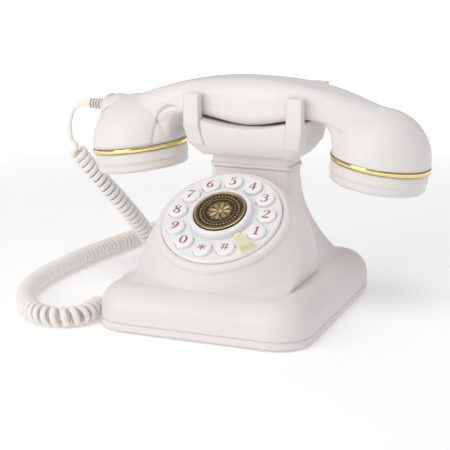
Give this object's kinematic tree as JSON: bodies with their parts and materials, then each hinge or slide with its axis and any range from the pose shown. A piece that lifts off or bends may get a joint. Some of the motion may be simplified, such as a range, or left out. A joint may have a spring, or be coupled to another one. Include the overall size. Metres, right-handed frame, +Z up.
{
  "type": "retro desk telephone",
  "caption": "White retro desk phone with a high pronged cradle, lift-off handset, push keys set in a dial ring, gilt trim and a curly handset cord.",
  "frame": {"origin": "centre of the footprint on the table, under the feet", "axes": "+Z up, front faces -Y, +X to the right of someone facing its front"},
  "size_m": [0.2534, 0.2246, 0.1399],
  "materials": {
    "white_shell": "satin warm white moulding",
    "white_gloss": "glossy white moulding",
    "white_key": "white key with red-brown digit",
    "white_small": "white moulding",
    "gold": "polished gilt",
    "pale_gold": "pale gilt",
    "antique_bronze": "antique bronze with dark recesses",
    "rubber": "matt rubber",
    "steel": "plain steel",
    "circuit_board": "green laminate",
    "dark_plastic": "dark moulding",
    "cord": "off-white vinyl",
    "clear_plug": "clear modular plug"
  },
  "bodies": {
    "base": {"upper_housing": "white_shell", "base_plate": "white_shell", "foot_front_left": "rubber", "foot_rear_left": "rubber", "foot_front_right": "rubber", "foot_rear_right": "rubber", "base_screw_1": "steel", "base_screw_2": "steel", "base_screw_3": "steel", "base_screw_4": "steel", "ballast_weight": "steel", "main_board": "circuit_board", "ringer": "dark_plastic", "handset_jack": "white_small", "line_jack": "white_small", "switch_base": "dark_plastic", "cradle": "white_shell", "hook_switch": "dark_plastic", "dial_plate": "white_gloss", "hub_collar": "white_gloss", "finger_stop": "pale_gold", "keypad_mat": "rubber", "dial_board": "circuit_board", "cord_plug": "clear_plug", "curly_cord": "cord"},
    "handset": {"handset_outer_shell": "white_shell", "handset_inner_cover": "white_shell", "ear_ring": "gold", "ear_cap": "white_shell", "receiver_capsule": "dark_plastic", "mouth_ring": "gold", "mouth_cap": "white_shell", "microphone": "dark_plastic", "handset_weight": "steel", "strain_relief": "cord"},
    "hook": {"hook_plunger": "white_small"},
    "redial": {"redial_medallion": "antique_bronze"},
    "ringer_knob": {"ringer_switch": "dark_plastic"},
    "key_1": {"key_1": "white_key"},
    "key_2": {"key_2": "white_key"},
    "key_3": {"key_3": "white_key"},
    "key_4": {"key_4": "white_key"},
    "key_5": {"key_5": "white_key"},
    "key_6": {"key_6": "white_key"},
    "key_7": {"key_7": "white_key"},
    "key_8": {"key_8": "white_key"},
    "key_9": {"key_9": "white_key"},
    "key_0": {"key_0": "white_key"},
    "key_star": {"key_star": "white_key"},
    "key_hash": {"key_hash": "white_key"}
  },
  "joints": [
    {"name": "handset_lift", "type": "slide", "parent": "base", "child": "handset", "axis": [0, 0, 1], "range_m": [0, 0.09]},
    {"name": "hook_rise", "type": "slide", "parent": "base", "child": "hook", "axis": [0, 0, 1], "range_m": [0, 0.005]},
    {"name": "press_1", "type": "slide", "parent": "base", "child": "key_1", "axis": [0, 0.5344, -0.8453], "range_m": [0, 0.0016], "stiffness_N_per_m": 300},
    {"name": "press_2", "type": "slide", "parent": "base", "child": "key_2", "axis": [0, 0.5344, -0.8453], "range_m": [0, 0.0016], "stiffness_N_per_m": 300},
    {"name": "press_3", "type": "slide", "parent": "base", "child": "key_3", "axis": [0, 0.5344, -0.8453], "range_m": [0, 0.0016], "stiffness_N_per_m": 300},
    {"name": "press_4", "type": "slide", "parent": "base", "child": "key_4", "axis": [0, 0.5344, -0.8453], "range_m": [0, 0.0016], "stiffness_N_per_m": 300},
    {"name": "press_5", "type": "slide", "parent": "base", "child": "key_5", "axis": [0, 0.5344, -0.8453], "range_m": [0, 0.0016], "stiffness_N_per_m": 300},
    {"name": "press_6", "type": "slide", "parent": "base", "child": "key_6", "axis": [0, 0.5344, -0.8453], "range_m": [0, 0.0016], "stiffness_N_per_m": 300},
    {"name": "press_7", "type": "slide", "parent": "base", "child": "key_7", "axis": [0, 0.5344, -0.8453], "range_m": [0, 0.0016], "stiffness_N_per_m": 300},
    {"name": "press_8", "type": "slide", "parent": "base", "child": "key_8", "axis": [0, 0.5344, -0.8453], "range_m": [0, 0.0016], "stiffness_N_per_m": 300},
    {"name": "press_9", "type": "slide", "parent": "base", "child": "key_9", "axis": [0, 0.5344, -0.8453], "range_m": [0, 0.0016], "stiffness_N_per_m": 300},
    {"name": "press_0", "type": "slide", "parent": "base", "child": "key_0", "axis": [0, 0.5344, -0.8453], "range_m": [0, 0.0016], "stiffness_N_per_m": 300},
    {"name": "press_star", "type": "slide", "parent": "base", "child": "key_star", "axis": [0, 0.5344, -0.8453], "range_m": [0, 0.0016], "stiffness_N_per_m": 300},
    {"name": "press_hash", "type": "slide", "parent": "base", "child": "key_hash", "axis": [0, 0.5344, -0.8453], "range_m": [0, 0.0016], "stiffness_N_per_m": 300},
    {"name": "press_redial", "type": "slide", "parent": "base", "child": "redial", "axis": [0, 0.5344, -0.8453], "range_m": [0, 0.0012], "stiffness_N_per_m": 400},
    {"name": "ringer_slide", "type": "slide", "parent": "base", "child": "ringer_knob", "axis": [1, 0, 0], "range_m": [0, 0.005]}
  ],
  "couplings": [
    {"joint": "hook_rise", "follows": "handset_lift", "ratio": 0.055555}
  ]
}
